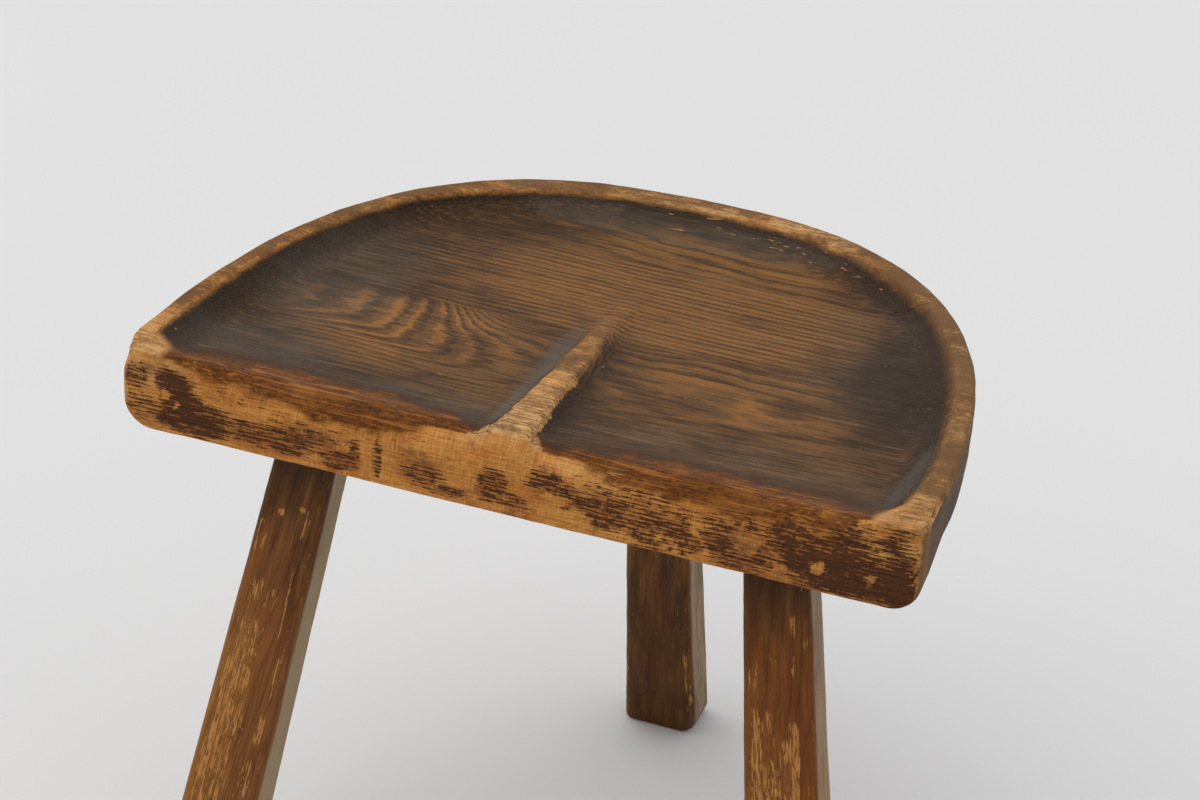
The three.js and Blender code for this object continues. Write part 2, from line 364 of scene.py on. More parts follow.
def leg_frame(spread, setback, heading):
    """Where a leg's head and foot are, and the ways along, across and through it"""
    head = np.array([spread, setback, UNDERSIDE])
    lean = math.tan(LEG_LEAN)
    foot = head + np.array([math.sin(heading) * lean, math.cos(heading) * lean, -1]) * UNDERSIDE
    length = np.linalg.norm(head - foot)
    axis = (head - foot) / length
    across = np.array([1, 0, 0]) - axis * axis[0]
    across /= np.linalg.norm(across)
    return {"head": head, "foot": foot, "axis": axis, "across": across,
            "through": np.cross(axis, across), "length": length}


SPREAD, SETBACK = FRONT_LEG_HEAD
LEGS = {
    "front_left": leg_frame(-SPREAD, SETBACK, math.pi + FRONT_LEG_TURN),
    "front_right": leg_frame(SPREAD, SETBACK, math.pi - FRONT_LEG_TURN),
    "rear": leg_frame(*REAR_LEG_HEAD, 0),
}


def section(size, radius):
    """A rounded rectangle, as points about FINE apart"""
    points = []
    for quarter, (sx, sy) in enumerate([(1, 1), (-1, 1), (-1, -1), (1, -1)]):
        middle = np.array([sx * (size[0] / 2 - radius), sy * (size[1] / 2 - radius)])
        for turn in np.linspace(quarter, quarter + 1, 8) * math.pi / 2:
            points.append(middle + radius * np.array([math.cos(turn), math.sin(turn)]))
        step = np.array([(-1, 0), (0, -1), (1, 0), (0, 1)][quarter])
        run = (size[0], size[1])[quarter % 2] - 2 * radius
        pieces = round(run / FINE / 1.3)
        last = points[-1]
        points += [last + step * run * i / pieces for i in range(1, pieces)]
    return np.array(points)


def leg_ring(leg, height, ease):
    """The leg cut level at a height"""
    foot = section(LEG_FOOT, LEG_CORNER)
    corner = np.sign(foot) * (np.array(LEG_FOOT) / 2 - LEG_CORNER)
    bow = foot - np.clip(foot, -np.abs(corner), np.abs(corner))
    foot = foot - bow / LEG_CORNER * ease
    for side, radius in zip((-1, 1), FOOT_ROUND):
        near = max(radius - height, 0)
        inset = radius - math.sqrt(radius ** 2 - near ** 2)
        foot[side * foot[:, 0] > 0, 0] *= 1 - 2 * inset / LEG_FOOT[0]
    grow = np.clip(foot / (np.array(LEG_FOOT) / 2), -1, 1)
    grow = grow * (np.array(LEG_TOP) - np.array(LEG_FOOT)) / 2 / leg["length"]
    start = leg["foot"] + foot[:, :1] * leg["across"] + foot[:, 1:] * leg["through"]
    slope = leg["axis"] + grow[:, :1] * leg["across"] + grow[:, 1:] * leg["through"]
    return start + slope * ((height - start[:, 2]) / slope[:, 2])[:, None]


def tenon_rings(leg, turns, extra, level=None):
    """Rings of a tenon, or with extra room of its mortise"""
    rings = []
    for along, spread in ((0, 0), (TENON_LENGTH + extra, TENON_SPREAD)):
        wide, deep = TENON_RADIUS + spread + extra, TENON_RADIUS + extra
        ring = leg["head"] + leg["axis"] * along
        ring = ring + np.outer(wide * np.cos(turns), leg["across"])
        ring = ring + np.outer(deep * np.sin(turns), leg["through"])
        rings.append(ring)
    if level is not None:
        slide = (level - rings[0][:, 2]) / leg["axis"][2]
        rings[0] = rings[0] + slide[:, None] * leg["axis"]
    return rings


def closed_loft(rings):
    """Rings of equal length joined up, with a fan at each end"""
    count = len(rings[0])
    points = np.vstack([*rings, [rings[0].mean(0), rings[-1].mean(0)]])
    first, last = len(points) - 2, len(points) - 1
    top = (len(rings) - 1) * count
    faces = []
    for i in range(count):
        j = (i + 1) % count
        for k in range(len(rings) - 1):
            faces.append(quad(count, k, i, j))
        faces += [(first, j, i), (last, top + i, top + j)]
    return points, faces


def leg_shape(leg):
    """A leg from its eased foot to the end of its tenon: points and faces"""
    shoulder = UNDERSIDE - GLUE_GAP
    rings = []
    for turn in np.linspace(0, math.pi / 2, 5):
        ease = FOOT_EASE * (1 - math.sin(turn))
        rings.append(leg_ring(leg, FOOT_EASE * (1 - math.cos(turn)), ease))
    for height in np.arange(2 * FOOT_EASE, shoulder - 1, MEDIUM):
        rings.append(leg_ring(leg, height, 0))
    rings.append(leg_ring(leg, shoulder, 0))
    offset = rings[-1] - leg["head"]
    turns = np.arctan2(offset @ leg["through"], offset @ leg["across"])
    base, tip = tenon_rings(leg, turns, 0, level=shoulder)
    rings.append(base)
    for share in (0.25, 0.5, 0.75, 1):
        rings.append(lerp(base, tip, share))
    return closed_loft(rings)


def wedge_shape(leg, extra):
    """The saw cut that the fox wedge opens in the tenon"""
    grow = (WEDGE_THICK - WEDGE_THIN) / WEDGE_LENGTH
    rings = []
    for along in (TENON_LENGTH - WEDGE_LENGTH - extra, TENON_LENGTH + 1):
        half = (WEDGE_THICK + grow * (along - TENON_LENGTH)) / 2 + extra
        wide = WEDGE_WIDTH / 2 + TENON_RADIUS
        centre = leg["head"] + leg["axis"] * along
        rings.append(np.array([centre + leg["across"] * sx * half + leg["through"] * sy * wide
                               for sx, sy in ((1, 1), (-1, 1), (-1, -1), (1, -1))]))
    return closed_loft(rings)


# Meshes

def to_object(name, points, faces):
    """A Blender object from points in millimetres in the stool's frame"""
    shifted = (np.asarray(points) + OFFSET) * MM
    mesh = bpy.data.meshes.new(name)
    mesh.from_pydata(shifted.tolist(), [], [list(map(int, face)) for face in faces])
    mesh.update()
    piece = bpy.data.objects.new(name, mesh)
    bpy.context.scene.collection.objects.link(piece)
    return piece


def combine(piece, cutter, operation):
    """Cuts piece with cutter, and removes the cutter"""
    cut = piece.modifiers.new("cut", "BOOLEAN")
    cut.solver = "MANIFOLD"
    cut.operation = operation
    cut.object = cutter
    done = piece.evaluated_get(bpy.context.evaluated_depsgraph_get())
    mesh = bpy.data.meshes.new_from_object(done)
    piece.modifiers.clear()
    piece.data = mesh
    mesh.name = piece.name
    bpy.data.objects.remove(cutter)


def slab(start, end):
    """A block wider and taller than the seat, between two distances from its front edge"""
    x, z = SEAT_WIDTH, 2 * SEAT_HEIGHT
    ring = np.array([(-x, start, 0), (x, start, 0), (x, end, 0), (-x, end, 0)], float)
    return to_object("slab", *closed_loft([ring, ring + np.array([0, 0, z])]))


def points_of(piece):
    """A piece's points and normals, in millimetres in the stool's frame"""
    mesh = piece.data
    co = np.empty(len(mesh.vertices) * 3, np.float32)
    mesh.vertices.foreach_get("co", co)
    normal = np.empty(len(mesh.vertices) * 3, np.float32)
    mesh.vertices.foreach_get("normal", normal)
    points = co.reshape(-1, 3).astype(float) / MM - OFFSET
    return points, normal.reshape(-1, 3).astype(float)


def sink(piece, depth):
    """Moves each point of a piece into it along its normal, by depth(points, normals)"""
    points, normals = points_of(piece)
    points = points - normals * depth(points, normals)[:, None]
    moved = (points + OFFSET) * MM
    piece.data.vertices.foreach_set("co", moved.astype(np.float32).ravel())
    piece.data.update()


def seat_dents(points, normals):
    """Hand-cut unevenness over the seat, and edges that are knocked and rubbed away"""
    waves = 0.28 + 0.13 * ripple(points, 55, 1) + 0.045 * ripple(points, 13, 2)
    lean = np.abs(normals[:, 2])
    arris = ramp(lean, 0.25, 0.3) * fade(lean, 0.75, 0.22)
    outer = arris * fade(depth_inside(*points.T[:2]), 6, 4)
    knocks = ramp(ripple(points, 19, 3), 0.75, 1.2) * 1.1 + 0.25
    from_corner = np.linalg.norm(points - (-HALF_WIDTH, 1, SEAT_HEIGHT), axis=1)
    worn_off = CORNER_DENT * smooth(1 - from_corner / CORNER_DENT_REACH)
    return np.maximum(waves, 0.02) + outer * knocks + worn_off


def leg_dents(points, _):
    """Hand-cut unevenness over a leg"""
    waves = 0.16 + 0.08 * ripple(points / (1, 1, 4), 16, 6) + 0.03 * ripple(points, 7, 7)
    return np.maximum(waves, 0.01)


def store(piece, **fields):
    """Keeps fields on a piece, each with a value or a vector for every point"""
    for name, values in fields.items():
        values = np.asarray(values, np.float32)
        kind, key = ("FLOAT_VECTOR", "vector") if values.ndim == 2 else ("FLOAT", "value")
        piece.data.attributes.new(name, kind, "POINT").data.foreach_set(key, values.ravel())


def finish_piece(piece, material):
    """Gives a piece its material, and smooth shading up to its sharp edges"""
    piece.data.materials.clear()
    piece.data.materials.append(material)
    piece.data.shade_smooth()
    piece.data.set_sharp_from_angle(angle=SHARP_ANGLE)


# Growth rings: a number that goes up by one from each year's ring to the next

# Where the rings lie at this height is drawn from the photo; above and below it they shift
RING_LEVEL = 371


def front_board_rings(x, y, z):
    """Flat-sawn: one long nest of arches that point right, pinched at the joint on the left"""
    axis = 122 - 34 * ramp(x, -150, 110) + 12 * ramp(x, 10, 90)
    axis = axis + 10 * ramp(x, 100, 100)
    tip_places = [-230, -137, -115, -102, -78, -57, -25, 30, 118, 230]
    tip_rings = [-1.7, 1.5, 2.5, 3.5, 4.5, 5.5, 6.5, 7.6, 8.5, 9]
    tips = np.interp(x, tip_places, tip_rings)
    above = y - axis
    stiff = 0.3 + 0.85 * ramp(x, -104, 36) - 0.35 * ramp(x, -60, 50)
    upper = tips + 5 * stiff * (np.maximum(above, 0) / 56) ** 2.6
    near = np.exp(-(np.minimum(above, 0) / 30) ** 2)
    lower = near * tips + (1 - near) * (7 + (88 - y) / 6.6 + 0.012 * (x + 20))
    return np.where(above > 0, upper, lower) - (z - RING_LEVEL) / 2.4


def middle_board_rings(x, y, z):
    """Quarter-sawn: straight close lines along the board"""
    wave = np.sin(x / 70 + 0.6) + 0.5 * np.sin(x / 23 + y / 30)
    return (y + 0.03 * x + wave) / 5 + (z - RING_LEVEL) / 9


def rear_board_rings(x, y, z):
    """Flat-sawn through the middle of an arch, so its rings lie wide apart"""
    wave = 5 * np.sin(x / 60) + 2 * np.sin(x / 27 + 1)
    return (y + 0.06 * x + wave) / 11 - (z - RING_LEVEL) / 3


# Where the finish has worn, darkened and flaked, and where shade, sheen and glints are painted on

# Dark paint left on the front face: x and z of the middle, half sizes, how much is left
FRONT_PAINT = [
    (-214, -17, 10, 9, 0.62), (-192, -18, 12, 9, 0.92), (-187, -28, 14, 10, 0.9),
    (-212, -35, 12, 9, 0.56), (-172, -32, 15, 8, 0.8), (-180, -39, 25, 8, 0.94),
    (-148, -36, 24, 8, 0.62), (-124, -36, 20, 9, 0.66), (-104, -30, 12, 6, 0.5),
    (-94, -40, 12, 7, 0.62), (-84, -34, 3.5, 12, 0.6), (-71, -32, 3, 14, 0.64),
    (-118, -26, 20, 3, 0.56), (-46, -36, 16, 8, 0.58), (-34, -42, 16, 4, 0.56),
    (-5, -32, 10, 12, 0.64), (4, -39, 14, 5, 0.58),
    (24, -24, 12, 9, 0.62), (36, -29, 14, 9, 0.62), (58, -32, 18, 13, 0.68),
    (92, -36, 32, 13, 0.64), (84, -20, 22, 6, 0.5), (130, -32, 26, 18, 0.66),
    (161, -24, 24, 12, 0.74), (188, -34, 38, 15, 0.94), (196, -18, 28, 13, 0.76),
    (212, -9, 8, 9, 0.6), (216, -34, 16, 16, 1),
]
# Bare spots inside that paint
FRONT_BARE = [
    (135, -31, 8, 6), (173, -34, 4, 5), (197, -33, 4, 3), (93, -43, 3, 4), (111, -30, 1.5, 20),
    (198, -8, 5, 7), (226, -36, 3, 20), (-200, -24, 2, 5), (-190, -31, 3, 3), (30, -34, 6, 4),
    (44, -42, 8, 4),
]

# Where the bare front face ends upward: places along the front, and heights below the rim
LIP_PLACES = [-225, -204, -182, -167, -125, -105, -87, -65, -52, -42, -36, 22, 27, 36,
              45, 56, 140, 157, 176, 188, 197, 225]
LIP_HEIGHTS = [5, -3, -10, -14, -17, -21, -20, -19, -14, -8, 5, 5, -4, -9,
               -13, -17, -19, -17, -14, -9, -1, 5]

# How far the varnish on the lip reaches back into the dish
AMBER_PLACES = [-215, -197, -165, -150, -129, -80, -50, -22, 19, 52, 80, 130, 165, 188, 205]
AMBER_REACH = [6, 21, 32, 38, 37, 36, 29, 21, 17, 25, 35, 35, 31, 21, 9]

# Half the width of the worn strip on the ridge, by the distance from the front edge
CREST_PLACES = [0, 8, 17, 50, 78, 110, 140, 170, 200]
CREST_WIDTHS = [31, 22, 10.5, 8.5, 7.4, 5, 3.6, 3, 1]

# Places on the top with a painted grey sheen, where the light rings glow, and where it is worn
SHEEN_PATCHES = [
    (-165, 50, 48, 36, 0.55), (-60, 30, 60, 22, 0.5), (-160, 150, 44, 80, 0.5),
    (0, 292, 130, 16, 0.55), (140, 190, 40, 80, 0.36), (110, 50, 90, 26, 0.35),
]
WARM = [
    (-105, 110, 62, 42, 1), (75, 112, 75, 36, 0.62), (10, 195, 150, 60, 0.55),
    (10, 275, 75, 20, 0.4),
]
WORN = [
    (25, 205, 120, 62, 1), (90, 118, 80, 40, 0.62), (-90, 105, 80, 50, 0.55),
    (30, 272, 80, 22, 0.8), (110, 66, 90, 34, 0.4), (-40, 60, 40, 30, 0.45),
]


def seat_zones(points, normals):
    """Where the seat's points are, and how far each is on its top, front, rim, ridge and lip"""
    x, y, z = points.T
    up = normals[:, 2]
    below = z - SEAT_HEIGHT
    inside = depth_inside(x, y) - rim_width(x, y)
    edge = 1.1 * ripple(points, 16, 4) + 0.5 * ripple(points, 5, 5)
    drift = ripple(points, 30, 9)
    at_right = ramp(x, 60, 100)
    behind = ramp(y, 190, 90)

    top = ramp(up, 0.15, 0.35) * ramp(z - UNDERSIDE, UNDER_RADIUS, 4)
    under = ramp(-up, 0.6, 0.3)
    face = ramp(-normals[:, 1], 0.45, 0.4) * fade(y, 3, 8)
    front = np.maximum(fade(y, 12, 8) * fade(up, 0.8, 0.15), face)
    outside = (1 - top) * (1 - face) * (1 - under)

    on_rim = (1 - smooth((inside + 2.7 + 1.5 * at_right + 0.2 * edge) / (8 + 6 * at_right))) * top
    corners = np.maximum(patch(x, y, (-214, 6), (15, 17)), patch(x, y, (212, 8), (15, 20)))
    on_rim = np.maximum(on_rim, corners * top)
    pale_rim = patch(x, y, (62, 312), (62, 24)) * lerp(0.35, 1, smooth(0.5 + drift))

    centre = -7 * fade(y, 0, 20) - 3 * ramp(y, 110, 60)
    from_crest = np.abs(x - centre) - np.interp(y, CREST_PLACES, CREST_WIDTHS)
    tail = ramp(y, 60, 60)
    on_ridge = 1 - smooth((from_crest - 0.45 * edge) / (2 + 7 * tail) + 0.2 * tail)
    on_ridge = on_ridge * (1 - 0.9 * ramp(y, 90, 116)) * top

    lip_edge = below - np.interp(x, LIP_PLACES, LIP_HEIGHTS) + 0.9 * edge
    on_front = front * fade(lip_edge, -6, 7)
    return SimpleNamespace(
        points=points, x=x, y=y, up=up, below=below, inside=inside, edge=edge, drift=drift,
        at_right=at_right, behind=behind, top=top, under=under, face=face, front=front,
        outside=outside, on_rim=on_rim, pale_rim=pale_rim, from_crest=from_crest, tail=tail,
        on_ridge=on_ridge, lip_edge=lip_edge, on_front=on_front)


def bare_wear(seat):
    """How far the wood is laid bare, and how far it is only rubbed"""
    skirt = 0.4 + 0.12 * ripple(seat.points / (3, 3, 1), 20, 12)
    skirt = skirt + 0.3 * ramp(np.abs(seat.up), 0.3, 0.4)
    fading = seat.front * fade(seat.lip_edge, -3.5, 9)
    rubbed = np.maximum.reduce([seat.on_rim, seat.outside * skirt, seat.on_ridge * seat.tail,
                                fading])
    return np.maximum(seat.on_ridge * (1 - seat.tail), seat.on_front), rubbed


def grime_wear(seat):
    """How brown the bare wood is with dirt and old finish"""
    x, y = seat.x, seat.y
    side_grime = lerp(0.2 + 0.5 * ramp(y, 16, 60), 0.72, smooth(x / 120))
    near_rim = fade(seat.inside, 3, 6) * seat.top
    grime = lerp(seat.on_rim, near_rim, smooth(x / 120)) * lerp(side_grime, 0.74, seat.behind)
    grime = grime * (1 - 0.6 * patch(x, y, (215, 14), (24, 20))) * (1 - seat.on_front)
    grime = grime * (1 - 0.45 * seat.pale_rim)
    near_crest = fade(seat.from_crest, 3, 4) * ramp(y, 4, 8)
    on_crest = near_crest * (0.36 + 0.14 * ramp(y, 30, 90))
    on_face = seat.on_front * (0.16 + 0.1 * seat.drift + 0.2 * ramp(x, 60, 130))
    return np.maximum.reduce([grime, 0.74 * seat.outside, on_crest, on_face])


def straw_wear(seat):
    """How pale the bare wood is"""
    x, y = seat.x, seat.y
    at_left = 0.6 * seat.on_rim * fade(x, -60, 120) * fade(y, 14, 60)
    at_back = 0.8 * seat.on_rim * ramp(seat.drift, 0.1, 0.9) * seat.behind
    at_side = ramp(x, 150, 40) * lerp(0.4, 0.62, smooth(0.5 + seat.drift))
    on_crest = seat.on_ridge * ramp(y, 7, 3) * (1 - 0.6 * ramp(y, 26, 60))
    return np.maximum.reduce([at_left, at_back, 0.7 * seat.on_rim * seat.pale_rim,
                              seat.on_rim * at_side, on_crest])


def paint_wear(seat):
    """How much dark paint is left on the front face"""
    paint = patches(seat.x, seat.below, FRONT_PAINT)
    ragged = (seat.x + 2.2 * seat.edge, seat.below - 1.6 * seat.edge)
    for px, pz, rx, rz in FRONT_BARE:
        paint = paint * (1 - 0.9 * patch(*ragged, (px, pz), (rx, rz)))
    border = ramp(seat.lip_edge, -11, 6) * fade(seat.lip_edge, -1, 3)
    return np.maximum(paint, border * lerp(0.26, 0.44, smooth(seat.x / 60))) * seat.face


def varnish_wear(seat):
    """How much red-brown varnish is left on the lip"""
    reach = np.interp(seat.x, AMBER_PLACES, AMBER_REACH)
    return 1 - smooth((seat.y - reach + 15 - 1.4 * seat.edge) / 22)


def dish_wear(seat, bare, rubbed):
    """How far the dish is darkened by painted shade and dark stain, greyed by a painted sheen,
    nicked, speckled by painted glints, warm and worn
    """
    x, y, inside = seat.x, seat.y, seat.inside
    # Painted shade, partly darker unworn stain: on the wall, in a band just under the rim's edge,
    # on the ridge's right flank and on the right of the dish
    wall = ramp(inside, -0.5, 2) * fade(inside, 6, 20)
    wall_foot = ramp(inside, -0.5, 2) * fade(inside, 3, 6)
    shade = 0.92 - 0.5 * seat.behind * (1 - seat.at_right)
    shade = shade - 0.3 * patch(x, y, (-115, 270), (60, 50))
    flank = (1 - seat.on_ridge) * ramp(y, 12, 20) * fade(y, 110, 90)
    right_flank = flank * ramp(x, 4, 6) * fade(x, 13, 22)
    dark = np.maximum.reduce([wall * shade, 0.9 * wall_foot, 0.6 * right_flank,
                              0.9 * patch(x, y, (178, 180), (40, 70))])

    # Painted sheen: a grey reflection on the ridge's left flank, by the right front wall and in
    # patches
    left_flank = flank * ramp(-x, 6, 5) * fade(-x, 17, 9)
    right_wall = 0.7 * patch(x - 0.1 * (y - 60), y, (202, 62), (7, 40))
    painted_sheen = np.maximum.reduce([0.95 * left_flank, right_wall, patches(x, y, SHEEN_PATCHES)])
    painted_sheen = painted_sheen * (1 - bare) * (1 - rubbed) * seat.top

    nicks_and_glints = wall * fade(inside, 12, 6)
    nicks_and_glints = nicks_and_glints * np.maximum(patch(x, y, (30, 290), (120, 60)), 0.3)
    # Painted glints: pale specks on the lip's roll, right of the ridge
    nicks_and_glints = np.maximum(nicks_and_glints, patch(x, y, (34, 5), (34, 7)))
    return {"dark": dark, "painted_sheen": painted_sheen, "nicks_and_glints": nicks_and_glints,
            "warm": patches(x, y, WARM) * seat.top, "worn": patches(x, y, WORN) * (1 - dark)}


def seat_wear(piece, year_rings):
    """Stores a board's rings, and each kind of wear, painted shade, painted sheen and painted
    glints from 0 to 1
    """
    points, normals = points_of(piece)
    seat = seat_zones(points, normals)
    bare, rubbed = bare_wear(seat)
    wear = {"bare": bare, "rubbed": rubbed, "grime": grime_wear(seat), "straw": straw_wear(seat),
            "paint": paint_wear(seat), "amber": varnish_wear(seat), "under": seat.under,
            **dish_wear(seat, bare, rubbed)}
    wear = {name: np.clip(values, 0, 1) for name, values in wear.items()}
    store(piece, fibre=points, ring=year_rings(*points.T), **wear)


# Tan chips on each leg's front: across it, from and to (down the leg), half width, how much
LEG_CHIPS = {
    "front_left": [
        (-6, 63, 69, 2.2, 0.9), (7, 57, 63, 4, 0.8), (10, 57, 84, 1.6, 0.9),
        (10.5, 84, 150, 0.9, 0.8), (14, 145, 190, 1, 0.8), (13, 188, 218, 2.6, 0.85),
        (-11, 74, 100, 2, 0.6), (-9, 102, 132, 4.5, 0.64), (1, 106, 136, 5, 0.54),
        (-7, 126, 345, 11, 0.62), (-13, 150, 345, 5, 0.7), (13, 214, 345, 6, 0.56),
        (22, 62, 100, 1.4, 0.85), (17, 40, 345, 4, 0.36), (-15, 60, 150, 2.5, 0.5),
    ],
    "front_right": [
        (8.8, 48, 70, 1.6, 0.9), (16, 64, 73, 1.5, 0.8), (9.2, 71, 91, 1.6, 0.8),
        (-13, 70, 112, 3.5, 0.56), (-5, 98, 140, 3.5, 0.6), (4, 118, 146, 4.5, 0.66),
        (9, 104, 182, 3.4, 0.8), (-13, 98, 260, 5, 0.68), (-4, 128, 345, 11, 0.62),
        (14, 180, 345, 6, 0.56), (0, 60, 110, 12, 0.36),
    ],
    "rear": [
        (21.5, 256, 332, 3, 0.62), (-21, 230, 345, 1.6, 0.44), (12, 200, 345, 12, 0.3),
    ],
}


def leg_wear(piece, name):
    """Stores a leg's rings, and how far each point is bare, gold and red, how much painted sheen
    lightens the sides, how much painted shade falls just below the seat, and so on
    """
    leg = LEGS[name]
    points, normals = points_of(piece)
    offset = points - leg["foot"]
    along = leg["length"] - offset @ leg["axis"]
    across = offset @ leg["across"]
    through = offset @ leg["through"]
    facing = -(normals @ leg["through"])
    ahead = ramp(facing, 0.4, 0.3)
    wander = 0.8 * ripple(np.column_stack([along, 0 * along, 0 * along]), 60, 11)
    half = np.stack([lerp(LEG_TOP[k], LEG_FOOT[k], along / leg["length"]) / 2 for k in (0, 1)])
    corner = np.hypot(np.maximum(np.abs(across) - half[0] + 7, 0),
                      np.maximum(np.abs(through) - half[1] + 7, 0)) / 7
    low = ramp(along, 120, 220)
    bare = ramp(corner, 0.75, 0.5) * (0.4 + 0.15 * low)
    for middle, begin, end, width, amount in LEG_CHIPS[name]:
        band = fade(np.abs(across - middle - wander) / width, 0.4, 1.1)
        ease = min(16, (end - begin) / 3)
        span = smooth((along - begin) / ease) * smooth((end - along) / ease)
        bare = np.maximum(bare, amount * band * span * ahead)
    back = fade(facing, -0.5, 0.4)
    bare = np.maximum(bare, 0.34 * back * low)

    left_share = fade(across, -6, 18)
    gold = {"front_left": 0.42 + 0.4 * left_share, "front_right": 0.5 + 0.2 * left_share,
            "rear": 0.16 * fade(along, 190, 60)}[name]
    gold = gold * ramp(along, 30, 130)
    red = {"front_left": 0.15, "front_right": 0.8, "rear": 0}[name] * ramp(along, 30, 60)
    # Painted sheen: the side faces lighter and greyer, as a grazing reflection makes them; the
    # strip by the front edge keeps the varnish
    side = fade(np.abs(facing), 0.25, 0.35)
    strip = 3 if name == "front_left" else 1.5
    faded = side * ramp(through + half[1], strip * (1 + 0.4 * wander), 5)
    faded = faded * {"front_left": lerp(0.88, 1, ramp(along, 50, 140)),
                     "front_right": 0.58, "rear": 0.54}[name]
    reach = np.hypot(across + 30, through - 46)
    store(piece, fibre=np.column_stack([along, across, through]),
          ring=reach / 3.1 + along * 0.012, bare=np.clip(bare, 0, 1), gold=gold, red=red,
          faded=faded, shade=fade(along, 4, 60) * lerp(0.2, 1, ahead),
          foot=ramp(along - leg["length"], -14, 14))


# Materials

class Nodes:
    """Short calls to build a node tree; an input is a number, a colour or another node's output"""

    def __init__(self, owner):
        self.owner = owner
        owner.use_nodes = True
        self.tree = owner.node_tree
        self.tree.nodes.clear()

    def node(self, kind, inputs, **settings):
        made = self.tree.nodes.new("ShaderNode" + kind)
        for key, value in settings.items():
            setattr(made, key, value)
        for key, value in inputs.items():
            socket = made.inputs[key]
            if isinstance(value, bpy.types.NodeSocket):
                self.tree.links.new(value, socket)
            else:
                socket.default_value = value
        return made

    def attribute(self, name):
        return self.node("Attribute", {}, attribute_name=name).outputs["Fac"]

    def vector(self, name):
        return self.node("Attribute", {}, attribute_name=name).outputs["Vector"]

    def math(self, operation, *values, clamp=False):
        inputs = dict(enumerate(values))
        return self.node("Math", inputs, operation=operation, use_clamp=clamp).outputs[0]

    def add(self, *values):
        return reduce(partial(self.math, "ADD"), values)

    def times(self, *values):
        return reduce(partial(self.math, "MULTIPLY"), values)

    def swing(self, value, size):
        """How far value is from its middle, 0.5, times size"""
        return self.times(self.math("SUBTRACT", value, 0.5), size)

    def noise(self, vector, size, detail=3, roughness=0.55, distortion=0, shift=0):
        """Noise with waves of about the given size along each axis"""
        inputs = {0: vector, 1: tuple(1 / length for length in size)}
        place = self.node("VectorMath", inputs, operation="MULTIPLY").outputs[0]
        if shift:
            inputs = {0: place, 1: (shift,) * 3}
            place = self.node("VectorMath", inputs, operation="ADD").outputs[0]
        inputs = {"Vector": place, "Scale": 1, "Detail": detail, "Roughness": roughness,
                  "Distortion": distortion}
        return self.node("TexNoise", inputs).outputs["Fac"]

    def band(self, value, low, high, start=0, end=1):
        """Eases from start to end as value goes from low to high"""
        inputs = {"Value": value, "From Min": low, "From Max": high, "To Min": start, "To Max": end}
        return self.node("MapRange", inputs, interpolation_type="SMOOTHSTEP").outputs[0]

    def mix(self, share, a, b):
        return self.node("Mix", {0: share, 6: a, 7: b}, data_type="RGBA").outputs[2]

    def layers(self, base, *coats):
        """A base under coats, each given as how much it covers and its colour"""
        for share, colour in coats:
            base = self.mix(share, base, colour)
        return base

    def bump(self, height, distance):
        inputs = {"Height": height, "Strength": 1, "Distance": distance}
        return self.node("Bump", inputs).outputs[0]

    def finish(self, inputs, shader="BsdfPrincipled", output="OutputMaterial"):
        """Ends the tree in a shader, and gives back what the tree belongs to"""
        self.node(output, {0: self.node(shader, inputs).outputs[0]})
        return self.owner


def rgb(red, green, blue):
    """A colour written as sRGB bytes"""
    linear = [((c / 255 + 0.055) / 1.055) ** 2.4 for c in (red, green, blue)]
    return (*linear, 1)


def ring_lines(n, ring, fibre):
    """Late wood as a dark line that ends each ring, and a soft light band in its middle"""
    waver = n.noise(fibre, (38, 5, 5), 3)
    place = n.add(ring, n.band(waver, 0.2, 0.8, -0.22, 0.22))
    phase = n.math("FRACT", place)
    rise = n.band(phase, 0.5, 0.9)
    fall = n.band(phase, 0.93, 1, 1, 0)
    late = n.times(rise, fall)
    light = n.times(n.band(phase, 0.26, 0.38), n.band(phase, 0.54, 0.68, 1, 0))
    return late, light


def seat_grain(n):
    """The seat's late wood and light bands, and noises drawn out along its fibres"""
    fibre = n.vector("fibre")
    late, light = ring_lines(n, n.attribute("ring"), fibre)
    return SimpleNamespace(
        fibre=fibre, late=late, light=light,
        fine=n.noise(fibre, (34, 0.75, 0.75), 4, 0.6),
        strand=n.noise(fibre, (46, 2.2, 1.1), 3, 0.55, shift=11),
        rasp=n.noise(fibre, (1.1, 16, 9), 3, 0.6, shift=23),
        hair=n.noise(fibre, (9, 0.42, 0.42), 3, 0.65, shift=3.1),
        cloud=n.noise(fibre, (30, 14, 14), 4, 0.62, shift=7.7),
        haze=n.noise(fibre, (75, 40, 40), 2, 0.5, shift=4.2),
        speck=n.noise(fibre, (4.2, 1.9, 1.9), 4, 0.7, shift=13.3),
        dust=n.noise(fibre, (2.6, 0.9, 0.9), 2, 0.5, shift=31))


